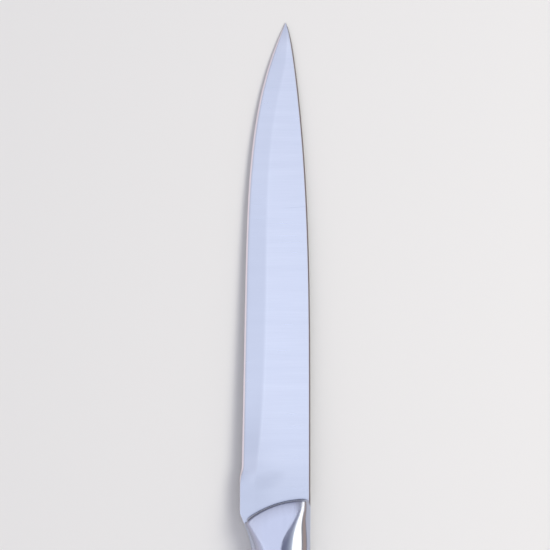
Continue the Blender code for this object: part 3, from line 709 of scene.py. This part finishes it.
sand, tree, shader = new_material("packed_fill_sand")
place = knife_place(tree)
at = Wire.node(tree, "ShaderNodeCombineXYZ", None, dict(enumerate(place)))
grain = Wire.node(tree, "ShaderNodeTexVoronoi", None, {"Vector": at, "Scale": 2600.0}, "Color")
grain_height = Wire.node(tree, "ShaderNodeTexVoronoi", None, {"Vector": at, "Scale": 2600.0})
grain_tone = Wire.node(tree, "ShaderNodeSeparateXYZ", None, {0: grain})
bed = streaks(tree, place, (140, 60, 140), 3.0)
sand_colour = blend(tree, grain_tone, (0.30, 0.22, 0.13), (0.72, 0.62, 0.45))
feed(tree, shader, {
    "Base Color": blend(tree, (0.5 * bed).clamp(), sand_colour, (0.45, 0.34, 0.21)),
    "Roughness": (0.85 + 0.15 * grain_tone).clamp(), "Normal": bumped(tree, 1 - grain_height, 0.00015)})

rubber, tree, shader = new_material("moulded_plug_rubber")
place = knife_place(tree)
moulding = streaks(tree, place, (900, 900, 900), 4.0)
bloom = streaks(tree, place, (120, 120, 120), 2.0)
feed(tree, shader, {
    "Base Color": blend(tree, bloom, (0.022, 0.022, 0.023), (0.060, 0.059, 0.057)),
    "Roughness": (0.62 + 0.3 * moulding).clamp(), "Normal": bumped(tree, moulding, 0.00004)})

for node, material in (("tang_bedding", resin), ("sand_fill", sand), ("fill_plug", rubber)):
    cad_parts[node].data.materials.clear()
    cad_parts[node].data.materials.append(material)


# Table, light and camera
# A plain pale table, raised at its far edges, under an overhead panel and a long panel on the spine's
# side, which gives the bright line along the handle's back. The camera looks straight down.

table_reach, table_z, rim_reach, rim_z = 3.0, -0.0001, 3.4, 0.4
table = bpy.data.meshes.new("table")
table.from_pydata([(side_x * reach, side_y * reach, height)
                   for reach, height in ((table_reach, table_z), (rim_reach, rim_z))
                   for side_x, side_y in ((-1, -1), (1, -1), (1, 1), (-1, 1))], [],
                  [(0, 1, 2, 3)] + [(k, k + 4, (k + 1) % 4 + 4, (k + 1) % 4) for k in range(4)])
paper, tree, shader = new_material("pale_table")
feed(tree, shader, {"Base Color": (0.80, 0.795, 0.785, 1), "Roughness": 0.9, "Specular IOR Level": 0.1})
table.materials.append(paper)
new_piece("table", table)


def panel(name, place, aim, width, length, watts, colour):
    """A rectangular soft light that points at a place."""
    lamp = bpy.data.lights.new(name, "AREA")
    lamp.shape, lamp.size, lamp.size_y, lamp.energy, lamp.color = "RECTANGLE", width, length, watts, colour
    light = bpy.data.objects.new(name, lamp)
    back = (Vector(place) - Vector(aim)).normalized()
    turn = Matrix((Vector((0, 1, 0)).cross(back), (0, 1, 0), back)).transposed()
    light.matrix_world = Matrix.LocRotScale(Vector(place), turn, None)
    light.visible_camera = False
    bpy.context.scene.collection.objects.link(light)
    return light


panel("overhead_panel", (-0.08, 0.035, 1.25), (-0.08, 0.035, 0), 0.68, 0.87, 1.85, (0.97, 0.985, 1.0))
panel("side_panel", (0.95, 0.0, 0.97), (0, 0.0, 0), 0.56, 1.40, 4.8, (1.0, 0.945, 0.80))
table_light = panel("table_light", (0.75, 0.05, 1.1), (0, 0.05, 0), 0.6, 0.6, 5.4, (1.0, 0.99, 0.965))
table_light.visible_glossy = False

world = bpy.data.worlds.new("studio")
world.use_nodes = True
bpy.context.scene.world = world
tree = world.node_tree
look = Wire.node(tree, "ShaderNodeTexCoord")
to_right, to_tip, upward = [Wire.node(tree, "ShaderNodeSeparateXYZ", None, {0: look}, axis)
                            for axis in "XYZ"]
room = Wire.node(tree, "ShaderNodeValToRGB", {"stops": [
    (0.0, (0.24, 0.235, 0.23)), (0.5, (0.26, 0.265, 0.31)), (0.85, (0.26, 0.27, 0.37))]}, {0: upward})
right_wall = Wire.node(tree, "ShaderNodeValToRGB", {"stops": [
    (0.25, (0.245, 0.25, 0.335)), (0.40, (0.31, 0.32, 0.40)), (0.50, (0.66, 0.70, 0.74)),
    (0.86, (0.42, 0.40, 0.37)), (0.92, (0.62, 0.47, 0.38)), (1.0, (0.58, 0.45, 0.36))]}, {0: to_right})
room = blend(tree, to_right.ease(0.18, 0.26), room, right_wall)
left_wall = Wire.node(tree, "ShaderNodeValToRGB", {"stops": [
    (0.30, (0.82, 0.83, 0.92)), (0.53, (0.84, 0.80, 0.88)), (0.90, (0.80, 0.74, 0.74)),
    (1.0, (0.66, 0.59, 0.55))]}, {0: -to_right})
in_view = (-to_right).ease(0.20, 0.31) * (1 - to_tip.math("ABSOLUTE", to_tip).ease(0.35, 0.60))
room = blend(tree, in_view, room, left_wall)
room = blend(tree, (-to_tip).ease(0.25, 0.65) + to_tip.ease(0.90, 0.98), room, (0.66, 0.67, 0.70))
tree.links.new(room.socket, tree.nodes["Background"].inputs["Color"])

picture_pixels, pixel_width = 550, 0.00041344   # metres on the blade's flat that a pixel shows
picture_width, camera_height, seen_height = picture_pixels * pixel_width, 2.0, 0.0044
camera = bpy.data.cameras.new("camera")
camera.sensor_width = 36.0
camera.lens = camera.sensor_width * (camera_height - seen_height) / picture_width
camera.clip_end = 20.0
viewer = bpy.data.objects.new("camera", camera)
viewer.location = (-0.000394, 0.06147, camera_height)
bpy.context.scene.collection.objects.link(viewer)
bpy.context.scene.camera = viewer
bpy.context.scene.view_settings.view_transform = "Standard"
